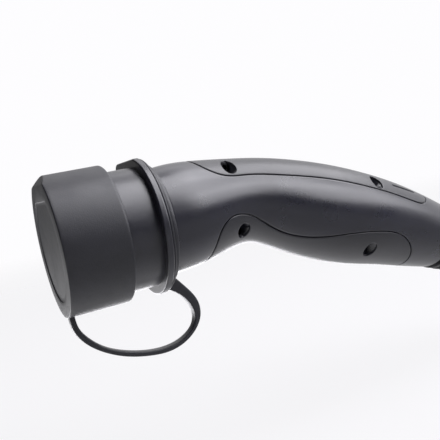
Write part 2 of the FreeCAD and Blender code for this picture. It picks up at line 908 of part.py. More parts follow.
def screw_holes(name, radius, start, length, axis):
    """Four holes or posts along the shell screws."""
    return [
        cylinder(
            "%s%d" % (name, k), radius, length, axis, "screw%d_x" % k, start, "screw%d_z" % k
        )
        for k in range(1, len(SCREWS) + 1)
    ]


def clamp_place(along, up):
    """x and z of a point by the clamp, along the cable and up across it."""
    tilt = "station%d_tilt" % LAST
    x = "station%d_x - (clamp_back - (%s)) * cos(%s) + (%s) * sin(%s)"
    z = "station%d_z + (clamp_back - (%s)) * sin(%s) + (%s) * cos(%s)"
    return x % (LAST, along, tilt, up, tilt), z % (LAST, along, tilt, up, tilt)


def clamp_block(name, width, y_low, y_high, up_half):
    """A block across the cable at the clamp, square to the cable."""
    block = DOC.addObject("Part::Box", name)
    block.Placement.Rotation = FreeCAD.Rotation(FreeCAD.Vector(0, 1, 0), 1)
    x, z = clamp_place("-(%s) / 2" % width, "-(%s)" % up_half)
    bind(
        block,
        Length=width,
        Width="(%s) - (%s)" % (y_high, y_low),
        Height="2 * (%s)" % up_half,
        Placement__Base__x=x,
        Placement__Base__y=y_low,
        Placement__Base__z=z,
        Placement__Rotation__Angle="station%d_tilt" % LAST,
    )
    return block


CLAMP_TOP = "cable_bore_radius + clamp_cover"
CLAMP_HALF = "clamp_screw_offset + clamp_post_radius"


def clamp_cable_room(name):
    """The cable's way through the clamp and the cradle, a little wider than the cable."""
    x, z = clamp_place("-2 * clamp_width", "0")
    tilt = "station%d_tilt" % LAST
    return cylinder(name, "cable_bore_radius", "4 * clamp_width", "X", x, "0", z, tilt)


def clamp_screw_parts(name, radius, length, axis, start):
    parts = []
    for k, side in enumerate(("clamp_screw_offset", "-clamp_screw_offset"), 1):
        x, z = clamp_place("0", side)
        parts.append(cylinder("%s%d" % (name, k), radius, length, axis, x, start, z))
    return parts


def cable_clamp():
    bar = clamp_block("clamp_bar", "clamp_width", "-(%s)" % CLAMP_TOP, "-clamp_gap", CLAMP_HALF)
    holes = clamp_screw_parts(
        "clamp_bar_hole", "clamp_screw_radius + fit_gap", "2 * (%s)" % CLAMP_TOP, "-Y", "0"
    )
    room = clamp_cable_room("clamp_bar_room")
    return cut("cable_clamp", bar, union("clamp_bar_cuts", holes + [room]))


def clamp_screws():
    start = "-(%s)" % CLAMP_TOP
    heads = clamp_screw_parts(
        "clamp_screw_head", "clamp_head_radius", "clamp_head_height", "-Y", start
    )
    shanks = clamp_screw_parts(
        "clamp_screw_shank", "clamp_screw_radius", CLAMP_TOP + " + clamp_screw_reach", "Y", start
    )
    return group(
        "clamp_screws",
        [union("clamp_screw%d" % k, pair) for k, pair in enumerate(zip(heads, shanks), 1)],
    )


def shell_screws():
    """Four self-tapping screws, driven from the left side."""
    head_low = "-screw_seat - screw_head_height"
    heads = screw_holes("screw_head", "screw_head_radius", head_low, "screw_head_height", "Y")
    length = "screw_seat + screw_reach"
    shanks = screw_holes("screw_shank", "screw_radius", "-screw_seat", length, "Y")
    return group(
        "shell_screws",
        [union("shell_screw%d" % k, pair) for k, pair in enumerate(zip(heads, shanks), 1)],
    )


def keeper_ring():
    """The rib inside the neck that sits in the nose's groove."""
    blank = cylinder(
        "keeper_blank",
        "station1_radius - shell_wall / 2",
        "keeper_width - 2 * fit_gap",
        "X",
        KEEPER_X + " + fit_gap",
    )
    hole = cylinder(
        "keeper_hole", "spigot_radius - keeper_depth + fit_gap", "spigot_length", "X", "neck_x"
    )
    return cut("keeper_ring", blank, hole)


def neck_seat(keeper):
    """The round room for the nose's spigot in the neck, with the rib left standing."""
    blank = cylinder(
        "neck_seat_blank",
        "spigot_radius + slip_gap",
        "shell_wall + spigot_length + slip_gap",
        "X",
        "neck_x - shell_wall",
    )
    return cut("neck_seat", blank, keeper)


def boot_hole():
    """The hole for the boot's neck in the handle's end wall."""
    tilt = "station%d_tilt" % LAST
    x = "station%d_x - 2 * end_wall * cos(%s)" % (LAST, tilt)
    z = "station%d_z + 2 * end_wall * sin(%s)" % (LAST, tilt)
    radius = "boot_neck_radius + fit_gap"
    return cylinder("boot_hole", radius, "4 * end_wall", "X", x, "0", z, tilt)


def slot_block():
    """The block that cuts the thin slot in the upper inlay's left side."""
    slot = DOC.addObject("Part::Box", "slot_block")
    slot.Placement.Rotation = FreeCAD.Rotation(FreeCAD.Vector(0, 1, 0), 1)
    bind(
        slot,
        Length="slot_length",
        Width="flange_radius",
        Height="slot_height",
        Placement__Base__x="neck_x + slot_x - slot_length / 2",
        Placement__Base__y="-flange_radius",
        Placement__Base__z="slot_z + slot_length / 2 * sin(slot_tilt)",
        Placement__Rotation__Angle="slot_tilt",
    )
    return slot


def handle_parts():
    """The two shells and the four grip inlays, all cut from the same form."""
    outer = handle_form("handle_outer", "0")
    inner = handle_form("handle_inner", "shell_wall", "end_wall")
    floor = handle_form("handle_floor", "inlay_thickness")
    keeper = keeper_ring()
    seat = neck_seat(keeper)
    way_out = boot_hole()
    far = 3 * size("flange_radius")
    recesses = []
    prisms = {}
    for place, name, count, closing in (
        ("top", "upper", len(UPPER_EDGE), far),
        ("bottom", "lower", len(LOWER_EDGE), -far),
    ):
        recess = inlay_form("recess_" + place, name, count, closing, 0.0)
        recesses.append(cut("recess_cut_" + place, recess, floor))
        prisms[place] = inlay_form("inlay_" + place, name, count, closing, size("inlay_gap"))
    made = []
    for side, word, axis in ((-1, "left", "-Y"), (1, "right", "Y")):
        half = half_space("side_" + word, side)
        kept = screw_holes("boss_%s_" % word, "boss_radius", "0", "flange_radius", axis)
        kept.append(keeper)
        if side < 0:
            tools = screw_holes(
                "counterbore", "screw_hole_radius", "-screw_seat", "flange_radius", "-Y"
            )
            tools += screw_holes(
                "clearance", "screw_radius + fit_gap", "screw_seat", "flange_radius", "-Y"
            )
        else:
            kept.append(
                clamp_block("cradle", "clamp_width", "clamp_gap", "flange_radius", CLAMP_HALF)
            )
            tools = screw_holes(
                "pilot", "screw_radius", "-screw_seat", "screw_seat + screw_reach", "Y"
            )
            tools.append(clamp_cable_room("cradle_room"))
            depth = "clamp_gap + clamp_screw_reach + fit_gap"
            tools += clamp_screw_parts(
                "cradle_pilot", "clamp_screw_radius", depth, "Y", "-clamp_gap"
            )
        room = cut("room_" + word, inner, union("kept_" + word, kept))
        walls = cut("walls_" + word, overlap("solid_" + word, [outer, half]), room)
        recessed = cut("recessed_" + word, walls, union("recesses_" + word, recesses))
        seated = cut("seated_" + word, recessed, seat)
        made.append(drilled("shell_" + word, seated, [way_out, *tools]))
        for place, prism in prisms.items():
            name = "grip_%s_%s" % (place, word)
            blank = overlap(name + "_blank", [prism, half])
            if side < 0:
                openings = screw_holes(
                    name + "_hole", "screw_hole_radius", "-screw_seat", "flange_radius", "-Y"
                )
                if place == "top":
                    openings.append(slot_block())
                blank = cut(name + "_open", blank, union(name + "_cuts", openings))
            made.append(cut(name, overlap(name + "_skin", [blank, outer]), floor))
    return made


def strain_relief():
    """The ribbed rubber boot, turned about the cable's axis and set in the handle's end."""
    body = new_body("strain_relief")
    inside = "-end_wall - fit_gap"
    corners = [
        (inside + " - boot_flange", "cable_bore_radius"),
        (inside + " - boot_flange", "boot_flange_radius"),
        (inside, "boot_flange_radius"),
        (inside, "boot_neck_radius"),
        ("fit_gap", "boot_neck_radius"),
    ]
    length = "(rib_count * rib_pitch)"
    crown = "boot_start_radius - (boot_start_radius - boot_end_radius) * (%s) / " + length
    root = "root_start_radius - (root_start_radius - root_end_radius) * (%s) / " + length
    corners.append(("fit_gap", root % "0"))
    for k in range(1, int(size("rib_count")) + 1):
        end = "%d * rib_pitch" % k
        start = end + " - rib_width"
        corners += [(start, root % start), (start, crown % start), (end, crown % end)]
        if k < size("rib_count"):
            corners.append((end, root % end))
    corners.append((length, "cable_bore_radius"))
    revolve(body, "boot_turned", corners)
    body.Placement.Rotation = FreeCAD.Rotation(FreeCAD.Vector(0, 1, 0), 1)
    bind(
        body,
        Placement__Base__x="station%d_x" % LAST,
        Placement__Base__z="station%d_z" % LAST,
        Placement__Rotation__Angle="station%d_tilt" % LAST,
    )
    return body


def build():
    fill_sheet()
    pieces = [nose_housing(), contact_carrier(), contact_retainer(), carrier_gasket()]
    for kind, places in (("power", POWER), ("signal", SIGNAL)):
        for name, place in places.items():
            pieces.append(contact(name, place, kind))
            pieces.append(contact_sleeve(name.replace("contact", "sleeve"), place, kind))
    pieces += [carrier_screws(), coding_board(), dust_cap(), tether_ring(), tether_strap()]
    pieces += handle_parts()
    pieces += [shell_screws(), cable_clamp(), clamp_screws(), strain_relief()]
    DOC.recompute()
    return pieces


def check(pieces):
    """Stops if any object failed, or if a piece isn't a valid solid."""
    for thing in DOC.Objects:
        if {"Invalid", "Error"} & set(thing.State):
            raise RuntimeError("%s failed: %s" % (thing.Name, thing.State))
    for piece in pieces:
        shape = piece.Shape
        if shape.isNull() or not shape.isValid() or not shape.Solids:
            raise RuntimeError(piece.Label + " is not a valid solid")


def write(pieces):
    os.makedirs("parts", exist_ok=True)
    for piece in pieces:
        piece.Shape.exportStep("parts/%s.step" % piece.Label)
        box = piece.Shape.BoundBox
        print(
            "%-18s solids %d volume %9.1f  x %.1f %.1f  y %.1f %.1f  z %.1f %.1f"
            % (
                piece.Label,
                len(piece.Shape.Solids),
                piece.Shape.Volume,
                box.XMin,
                box.XMax,
                box.YMin,
                box.YMax,
                box.ZMin,
                box.ZMax,
            )
        )


PIECES = build()
check(PIECES)
write(PIECES)
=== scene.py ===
import json
import math

import bmesh
import bpy
import numpy as np
from mathutils import Matrix, Vector


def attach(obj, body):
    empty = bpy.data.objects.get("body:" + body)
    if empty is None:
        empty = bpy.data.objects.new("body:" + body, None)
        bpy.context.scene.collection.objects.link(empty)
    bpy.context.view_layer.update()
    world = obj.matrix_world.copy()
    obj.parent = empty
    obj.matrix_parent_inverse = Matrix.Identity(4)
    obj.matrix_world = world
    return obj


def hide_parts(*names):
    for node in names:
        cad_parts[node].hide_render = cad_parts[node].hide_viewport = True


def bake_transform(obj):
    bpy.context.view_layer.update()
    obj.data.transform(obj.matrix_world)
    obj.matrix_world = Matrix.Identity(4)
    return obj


# Charging connector for a car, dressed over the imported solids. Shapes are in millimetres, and
# piece() scales them to metres.

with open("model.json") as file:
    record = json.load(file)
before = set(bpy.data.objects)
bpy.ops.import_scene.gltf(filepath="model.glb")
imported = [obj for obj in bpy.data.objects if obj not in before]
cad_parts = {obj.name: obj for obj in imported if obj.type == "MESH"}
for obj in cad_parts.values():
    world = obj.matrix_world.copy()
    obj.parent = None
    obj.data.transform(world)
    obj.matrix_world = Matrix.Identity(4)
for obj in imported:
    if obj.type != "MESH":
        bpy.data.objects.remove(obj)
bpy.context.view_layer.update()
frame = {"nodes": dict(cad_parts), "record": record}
NODES = frame["nodes"]

# Where the handle starts. The next four tables give x from there.
NECK = 45.5
# The handle's sections from neck to end: x, z, radius, slope in degrees
STATIONS = np.array([
    (0.0, 0.4, 25.3, 0.0),
    (14.5, 1.52, 25.09, -4.0),
    (29.5, 2.37, 22.96, -2.0),
    (44.5, 2.04, 21.16, 4.0),
    (59.0, -1.2, 21.99, 16.0),
    (72.5, -6.14, 23.76, 21.0),
    (88.5, -12.48, 25.17, 21.3),
    (106.5, -19.35, 25.24, 20.5),
    (125.5, -26.24, 23.72, 20.5),
    (144.5, -34.32, 21.48, 23.0),
    (162.0, -42.39, 18.7, 28.0),
])
# The inlays' edges as the photo's side shows them: x, z
UPPER_EDGE = np.array([
    (17.5, 31.0), (22.1, 22.7), (29.9, 16.4), (43.0, 14.0), (60.2, 10.7), (77.8, 6.3), (92.9, 1.6),
    (110.4, -5.2), (126.1, -12.2), (138.4, -18.4), (144.7, -20.5), (151.9, -19.0), (160.5, -12.0),
])
LOWER_EDGE = np.array([
    (12.5, -32.0), (19.5, -16.5), (23.1, -7.3), (28.7, -3.1), (36.6, -3.2), (46.8, -9.1),
    (57.3, -16.6), (71.7, -22.3), (93.1, -25.1), (108.0, -27.4), (119.8, -31.0), (128.7, -38.3),
    (132.3, -47.7), (130.5, -60.0),
])
# The screw holes on the left side: x, z
SCREWS = np.array([(36.4, 19.5), (117.7, -3.4), (36.2, -11.2), (104.4, -36.5)])
for points in (STATIONS, UPPER_EDGE, LOWER_EDGE, SCREWS):
    points[:, 0] += NECK
# The middle and the slope of the handle's end
END = np.array([STATIONS[-1, 0], 0.0, STATIONS[-1, 1]])
END_TILT = math.radians(STATIONS[-1, 3])

# How far the screw heads' seats are from the middle plane, and the holes' radius
SCREW_SEAT = 6.0
HOLE_R = 3.5
# The inlays' depth, the room under them and the gap round them
INLAY = 1.2
UNDER_INLAY = 0.05
GAP = 0.6

# Rounded edges: how far off they start, and how far the surface drops at them
INLAY_EDGE, INLAY_DROP = 0.6, 0.28
HOLE_EDGE, HOLE_DROP = 0.3, 0.18
SLOT_EDGE, SLOT_DROP = 0.25, 0.15
SEAM_EDGE, SEAM_DROP = 0.3, 0.22
# Rounded ends of the handle
NECK_EDGE = 0.5
TAIL_EDGE = 1.3

# The thin slot of the upper inlay: middle, slope, half length, half width, depth
SLOT = np.array([NECK + 136.9, -10.5])
SLOT_TILT = math.radians(24)
SLOT_REACH = 8.0
SLOT_HALF = 0.55
SLOT_DEPTH = 0.8
SLOT_WAY = np.array([math.cos(SLOT_TILT), -math.sin(SLOT_TILT)])
SLOT_A = SLOT - SLOT_REACH * SLOT_WAY
SLOT_B = SLOT + SLOT_REACH * SLOT_WAY

# Stands for no edge nearby
FAR = 1e9


# Curves


class Spline:
    """A natural cubic spline through rows of values, by distance along the first two columns."""

    def __init__(self, rows):
        self.rows = np.array(rows, float)
        steps = np.hypot(*(self.rows[1:, :2] - self.rows[:-1, :2]).T)
        self.at = np.concatenate([[0.0], np.cumsum(steps)])
        n = len(self.at)
        h = np.diff(self.at)
        a = np.zeros((n, n))
        b = np.zeros((n, self.rows.shape[1]))
        a[0, 0] = a[-1, -1] = 1.0
        for k in range(1, n - 1):
            a[k, k - 1 : k + 2] = h[k - 1], 2 * (h[k - 1] + h[k]), h[k]
            slope = np.diff(self.rows[k - 1 : k + 2], axis=0) / h[k - 1 : k + 1, None]
            b[k] = 6 * (slope[1] - slope[0])
        self.bend = np.linalg.solve(a, b)
        self.length = self.at[-1]

    def __call__(self, s):
        s = np.clip(np.asarray(s, float), 0.0, self.length)
        k = np.clip(np.searchsorted(self.at, s, side="right") - 1, 0, len(self.at) - 2)
        h = (self.at[k + 1] - self.at[k])[..., None]
        u = (self.at[k + 1] - s)[..., None]
        v = (s - self.at[k])[..., None]
        m0, m1 = self.bend[k], self.bend[k + 1]
        return (
            (m0 * u**3 + m1 * v**3) / (6 * h)
            + (self.rows[k] / h - m0 * h / 6) * u
            + (self.rows[k + 1] / h - m1 * h / 6) * v
        )


def outline(points, count=260):
    """A curve's points, close together."""
    curve = Spline(points)
    return curve(np.linspace(0, curve.length, count))


def off_segment(p, a, b):
    """The way from the nearest point of the segment from a to b to each point."""
    d = b - a
    t = np.clip(((p - a) @ d) / (d @ d), 0, 1)
    return p - (a + t[:, None] * d)


def distance(p, line):
    """Signed distance of (x, z) points to a line of points: above or left of it is positive."""
    tie = 1e-9
    best = np.full(len(p), FAR)
    sign = np.ones(len(p))
    for a, b in zip(line[:-1], line[1:]):
        d = b - a
        gap = off_segment(p, a, b)
        r = np.hypot(*gap.T)
        closer = r < best - tie
        best[closer] = r[closer]
        side = d[0] * gap[:, 1] - d[1] * gap[:, 0]
        sign[closer] = np.where(side[closer] >= 0, 1.0, -1.0)
    return best * sign


# Shader tools


def feed(tree, socket, value):
    """Sets a socket to a number, or links another node's output to it."""
    if isinstance(value, (int, float)):
        socket.default_value = value
    else:
        tree.links.new(value, socket)


def socket_math(tree, operation, first, second):
    """A maths node of two values, each a number or an output."""
    node = tree.nodes.new("ShaderNodeMath")
    node.operation = operation
    feed(tree, node.inputs[0], first)
    feed(tree, node.inputs[1], second)
    return node.outputs[0]


def map_range(tree, value, low, high, start=0.0, end=1.0, smooth=False):
    """Takes a value that goes from low to high to one that goes from start to end."""
    node = tree.nodes.new("ShaderNodeMapRange")
    if smooth:
        node.interpolation_type = "SMOOTHSTEP"
    for name, number in (("From Min", low), ("From Max", high), ("To Min", start), ("To Max", end)):
        node.inputs[name].default_value = number
    tree.links.new(value, node.inputs["Value"])
    return node.outputs["Result"]


def noise(tree, coord, size_mm, detail, rough=0.55, distortion=0.0):
    """Noise in the object's own space, with features of about this size."""
    node = tree.nodes.new("ShaderNodeTexNoise")
    node.inputs["Scale"].default_value = 1000.0 / size_mm
    node.inputs["Detail"].default_value = detail
    node.inputs["Roughness"].default_value = rough
    node.inputs["Distortion"].default_value = distortion
    tree.links.new(coord.outputs["Object"], node.inputs["Vector"])
    return node.outputs["Fac"]


def mix_shaders(tree, factor, first, second):
    node = tree.nodes.new("ShaderNodeMixShader")
    for socket, output in zip(node.inputs, (factor, first, second)):
        tree.links.new(output, socket)
    return node.outputs[0]


def mirror_ray(tree, path):
    """1 for a ray that a surface mirrors or lets through, and 0 for another."""
    return socket_math(
        tree, "MAXIMUM", path.outputs["Is Glossy Ray"], path.outputs["Is Transmission Ray"]
    )


# Materials

# Sizes of the cloudy tone, the specks in it and the patches of roughness
CLOUD_MM = 26.0
SPECK_MM = 0.9
PATCH_MM = 14.0
SCUFF_MM = 6.25
# How far the roughness varies either way
ROUGH_SPREAD = 0.035
# The grain's height in metres
GRAIN_HEIGHT = 0.00005


def material(name, base, rough, grain, grain_size, mottle, marks=0.0, metal=0.0, gloss=0.5,
             ior=1.5):
    """A moulded or turned surface: fine grain, cloudy tone, roughness that varies, faint marks."""
    mat = bpy.data.materials.new(name)
    mat.use_nodes = True
    tree = mat.node_tree
    shader = tree.nodes["Principled BSDF"]
    shader.inputs["Metallic"].default_value = metal
    shader.inputs["Specular IOR Level"].default_value = gloss
    shader.inputs["IOR"].default_value = ior
    coord = tree.nodes.new("ShaderNodeTexCoord")

    cloud = map_range(tree, noise(tree, coord, CLOUD_MM, 3.0), 0.35, 0.65, 0.1, 0.9)
    speck = map_range(tree, noise(tree, coord, SPECK_MM, 2.0), 0.3, 0.7, -0.25, 0.25)
    mix = tree.nodes.new("ShaderNodeMix")
    mix.data_type = "RGBA"
    mix.inputs["A"].default_value = (*[c * (1 - mottle) for c in base], 1)
    mix.inputs["B"].default_value = (*[min(1.0, c * (1 + mottle)) for c in base], 1)
    tree.links.new(socket_math(tree, "ADD", speck, cloud), mix.inputs["Factor"])
    tree.links.new(mix.outputs["Result"], shader.inputs["Base Color"])

    patches = noise(tree, coord, PATCH_MM, 4.0)
    tone = map_range(tree, patches, 0.3, 0.7, rough - ROUGH_SPREAD, rough + ROUGH_SPREAD)
    if marks:
        scuff = noise(tree, coord, SCUFF_MM, 4.0, rough=0.5, distortion=1.5)
        tone = socket_math(tree, "ADD", map_range(tree, scuff, 0.55, 0.75, 0.0, marks), tone)
    tree.links.new(tone, shader.inputs["Roughness"])

    bump = tree.nodes.new("ShaderNodeBump")
    bump.inputs["Strength"].default_value = grain
    bump.inputs["Distance"].default_value = GRAIN_HEIGHT
    tree.links.new(noise(tree, coord, grain_size, 2.0), bump.inputs["Height"])
    tree.links.new(bump.outputs["Normal"], shader.inputs["Normal"])
    return mat


# By the slot's name. The black plastics' gloss is high because the photo's highlights are.
MATERIALS = {
    "shell_plastic": material(
        "satin_shell", (0.0145, 0.015, 0.028), rough=0.29, grain=0.35, grain_size=0.35,
        mottle=0.12, gloss=1.0, ior=1.6,
    ),
    "grip_rubber": material(
        "matte_grip", (0.018, 0.0185, 0.027), rough=0.36, grain=0.6, grain_size=0.4, mottle=0.15,
        marks=0.03, gloss=1.0, ior=1.55,
    ),
    "nose_plastic": material(
        "satin_nose", (0.0155, 0.016, 0.027), rough=0.32, grain=0.5, grain_size=0.5, mottle=0.2,
        marks=0.08, gloss=1.0, ior=1.6,
    ),
    "cap_rubber": material(
        "matte_cap", (0.019, 0.0195, 0.028), rough=0.43, grain=0.9, grain_size=0.5, mottle=0.2,
        marks=0.05, gloss=1.0,
    ),
    "boot_rubber": material(
        "boot_rubber", (0.015, 0.0155, 0.02), rough=0.5, grain=0.7, grain_size=0.5, mottle=0.15,
        marks=0.04, gloss=0.7,
    ),
    "carrier_plastic": material(
        "carrier_plastic", (0.1, 0.1, 0.11), rough=0.45, grain=0.3, grain_size=0.4, mottle=0.08,
    ),
    "seal_rubber": material(
        "seal_rubber", (0.02, 0.02, 0.02), rough=0.65, grain=0.6, grain_size=0.4, mottle=0.15,
    ),
    "contact_silver": material(
        "contact_silver", (0.78, 0.77, 0.74), rough=0.28, grain=0.15, grain_size=0.6, mottle=0.05,
        marks=0.08, metal=1.0,
    ),
    "screw_steel": material(
        "screw_steel", (0.42, 0.42, 0.43), rough=0.35, grain=0.2, grain_size=0.5, mottle=0.08,
        marks=0.08, metal=1.0,
    ),
    "screw_black": material(
        "blackened_screw", (0.03, 0.03, 0.033), rough=0.45, grain=0.2, grain_size=0.5,
        mottle=0.08, marks=0.08, metal=1.0,
    ),
    "board_laminate": material(
        "board_laminate", (0.03, 0.16, 0.07), rough=0.4, grain=0.3, grain_size=0.5, mottle=0.15,
    ),
}
for part in frame["record"]["subparts"]:
    mesh = NODES[part["node"]].data
    mesh.materials.clear()
    mesh.materials.append(MATERIALS[part["material_slot"]])


# Mesh tools

# Angles round a turned piece
AROUND = np.linspace(0, 2 * math.pi, 144 + 1)[:-1]


def piece(name, bm, slot_name, smooth_angle=40):
    """Makes an object of a bmesh given in millimetres."""
    bmesh.ops.scale(bm, vec=(0.001, 0.001, 0.001), verts=bm.verts)
    mesh = bpy.data.meshes.new(name)
    bm.to_mesh(mesh)
    bm.free()
    mesh.materials.append(MATERIALS[slot_name])
    obj = bpy.data.objects.new(name, mesh)
    bpy.context.scene.collection.objects.link(obj)
    mesh.shade_smooth()
    bpy.context.view_layer.objects.active = obj
    obj.select_set(True)
    bpy.ops.object.shade_auto_smooth(angle=math.radians(smooth_angle))
    obj.select_set(False)
    return obj


def rings(rows, start_x=None, end_x=None):
    """A bmesh of rows of points, each row a ring. A fan closes an end to a point on the x axis."""
    bm = bmesh.new()
    made = [[bm.verts.new(p) for p in row] for row in rows]
    n = len(made[0])
    for r0, r1 in zip(made[:-1], made[1:]):
        for k in range(n):
            bm.faces.new((r0[k], r0[(k + 1) % n], r1[(k + 1) % n], r1[k]))
    for x, row in ((start_x, made[0]), (end_x, made[-1])):
        if x is not None:
            tip = bm.verts.new((x, 0, 0))
            for k in range(n):
                bm.faces.new((row[k], row[(k + 1) % n], tip))
    bmesh.ops.recalc_face_normals(bm, faces=bm.faces)
    return bm


def turned(profile, start_x=None, end_x=None):
    """A bmesh turned about the x axis. A radius is one number, or one for each angle."""
    rows = []
    for x, radius in profile:
        r = np.broadcast_to(radius, AROUND.shape)
        rows.append(np.stack([np.full_like(AROUND, x), r * np.sin(AROUND), r * np.cos(AROUND)], 1))
    return rings(rows, start_x, end_x)


def add_to(whole, bm):
    """Adds a bmesh to the whole and frees it."""
    mesh = bpy.data.meshes.new("one_of_many")
    bm.to_mesh(mesh)
    bm.free()
    whole.from_mesh(mesh)
    bpy.data.meshes.remove(mesh)


def cut_levels(bm, func, levels):
    """Adds the lines along which func of the points has these values, as edges of the mesh."""
    on_line = 1e-5
    for level in levels:
        bm.verts.index_update()
        val = func(np.array([v.co for v in bm.verts])) - level
        val[np.abs(val) < on_line] = 0.0
        on = [v for v in bm.verts if val[v.index] == 0.0]
        edges = [e for e in bm.edges if val[e.verts[0].index] * val[e.verts[1].index] < 0]
        for e in edges:
            a, b = e.verts
            va, vb = val[a.index], val[b.index]
            _, new = bmesh.utils.edge_split(e, a, va / (va - vb))
            on.append(new)
        bmesh.ops.connect_verts(bm, verts=on)


def edge_drop(depth, width, drop):
    """A rounded edge: nothing at -width, falling to the whole drop at the edge and past it."""
    t = np.clip((np.minimum(depth, 0) + width) / width, 0, 1)
    return drop * (1 - np.sqrt(np.clip(1 - t * t, 0, 1)))


# Handle

HANDLE = Spline(STATIONS)
UPPER = outline(UPPER_EDGE)
LOWER = outline(LOWER_EDGE)
# The radius by which an angle round the handle becomes a length on the flat sheet
SHEET_R = 23.0
# The sheet's step along the handle, and its points round half of it
SHEET_STEP = 1.1
SHEET_POINTS = 61
# A point this far past an edge is sunk. The lines at 0.02 are, and the edge itself isn't.
PAST_EDGE = 0.01
PAST_HOLE = 0.015


def corner_drop(past, size):
    """How far a rounded corner has fallen at a distance past its start."""
    past = np.clip(past, 0, size)
    return size - np.sqrt(np.clip(size**2 - past**2, 0, None))


def handle_point(s, phi, inset=0.0):
    """Points of the handle's surface: s along it, phi round it from the top, inset inwards.

    Below 0 and beyond the handle's length s goes in along the flat ends."""
    length = HANDLE.length
    row = HANDLE(s)
    x, z, radius, tilt = row[:, 0], row[:, 1], row[:, 2], np.radians(row[:, 3])
    radius = radius - corner_drop(NECK_EDGE - s, NECK_EDGE)
    radius = radius - corner_drop(s - (length - TAIL_EDGE), TAIL_EDGE)
    radius = radius - np.clip(-s, 0, None) - np.clip(s - length, 0, None) - inset
    up = np.stack([np.sin(tilt), np.zeros_like(tilt), np.cos(tilt)], axis=1)
    out = np.cos(phi)[:, None] * up
    out[:, 1] += np.sin(phi)
    centre = np.stack([x, np.zeros_like(x), z], axis=1)
    return centre + out * radius[:, None]


def flat_sheet(side):
    """Half of the handle as a flat sheet: x is s, and y is phi times a radius.

    Its first and last rows lie on the flat ends and the rounded edges."""
    length = HANDLE.length
    s = np.concatenate([
        [-2.2, -1.0, 0.0, 0.08, 0.22, NECK_EDGE],
        np.arange(1.5, length - TAIL_EDGE - 0.4, SHEET_STEP),
        length - TAIL_EDGE + np.array([0.0, 0.5, 0.9, 1.15, 1.3]),
        [length + 1.5, length + 3.2, length + 5.4],
    ])
    phi = np.linspace(0, math.pi, SHEET_POINTS) * side
    bm = bmesh.new()
    made = [[bm.verts.new((a, b * SHEET_R, 0)) for b in phi] for a in s]
    for r0, r1 in zip(made[:-1], made[1:]):
        for k in range(len(phi) - 1):
            bm.faces.new((r0[k], r0[k + 1], r1[k + 1], r1[k]))
    return bm


def on_surface(co, inset=0.0):
    """Where points of the flat sheet lie on the handle."""
    return handle_point(co[:, 0], co[:, 1] / SHEET_R, inset)


def upper_depth(co):
    """How far above the upper inlay's edge a point is."""
    return distance(on_surface(co)[:, [0, 2]], UPPER)


def lower_depth(co):
    """How far below the lower inlay's edge a point is."""
    return -distance(on_surface(co)[:, [0, 2]], LOWER)


def hole_depth(co):
    """How far inside the nearest screw hole a point is."""
    p = on_surface(co)
    best = np.full(len(p), -FAR)
    for x, z in SCREWS:
        best = np.maximum(best, HOLE_R - np.hypot(p[:, 0] - x, p[:, 2] - z))
    return np.where(p[:, 1] < 0, best, -FAR)


def slot_depth(co):
    """How far inside the thin slot of the upper inlay a point is."""
    p = on_surface(co)
    gap = np.hypot(*off_segment(p[:, [0, 2]], SLOT_A, SLOT_B).T)
    return np.where(p[:, 1] < 0, SLOT_HALF - gap, -FAR)


def seam_gap(co):
    """Distance round the handle from the seam between the halves."""
    phi = np.abs(co[:, 1]) / SHEET_R
    return np.minimum(phi, math.pi - phi) * SHEET_R


def seam_drop(co):
    """The bevel along the seam."""
    return SEAM_DROP * np.clip(1 - seam_gap(co) / SEAM_EDGE, 0, 1)


def place(bm, side, inset):
    """Lifts the flat sheet onto the handle, with an inset at each point, and turns it outwards."""
    co = np.array([v.co for v in bm.verts])
    for v, q in zip(bm.verts, on_surface(co, inset(co))):
        v.co = q
    bmesh.ops.recalc_face_normals(bm, faces=bm.faces)
    bm.normal_update()
    if sum(f.normal.y * f.calc_area() for f in bm.faces) * side < 0:
        bmesh.ops.reverse_faces(bm, faces=bm.faces)


def shell_skin(name, side, node):
    """A half of the handle, sunk where the inlays and the screws lie."""
    bm = flat_sheet(side)
    for func in (upper_depth, lower_depth):
        cut_levels(bm, func, (-INLAY_EDGE, -0.35, -0.15, -0.03, 0.0, 0.02))
    if side < 0:
        cut_levels(bm, hole_depth, (-HOLE_EDGE, -0.12, 0.0, 0.02))
    cut_levels(bm, seam_gap, (0.12, 0.32))

    def inset(co):
        d = np.maximum(upper_depth(co), lower_depth(co))
        deep = edge_drop(d, INLAY_EDGE, INLAY_DROP)
        deep = np.where(d > PAST_EDGE, INLAY + UNDER_INLAY, deep)
        hole = edge_drop(hole_depth(co), HOLE_EDGE, HOLE_DROP)
        return np.maximum(np.maximum(deep, hole), seam_drop(co))

    sunk = hole_depth(np.array([v.co for v in bm.verts])) > PAST_HOLE
    place(bm, side, inset)
    for v, low in zip(bm.verts, sunk):
        if low:
            v.co.y = max(v.co.y, -SCREW_SEAT)
    obj = piece(name, bm, "shell_plastic")
    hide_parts(node)
    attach(obj, "connector")


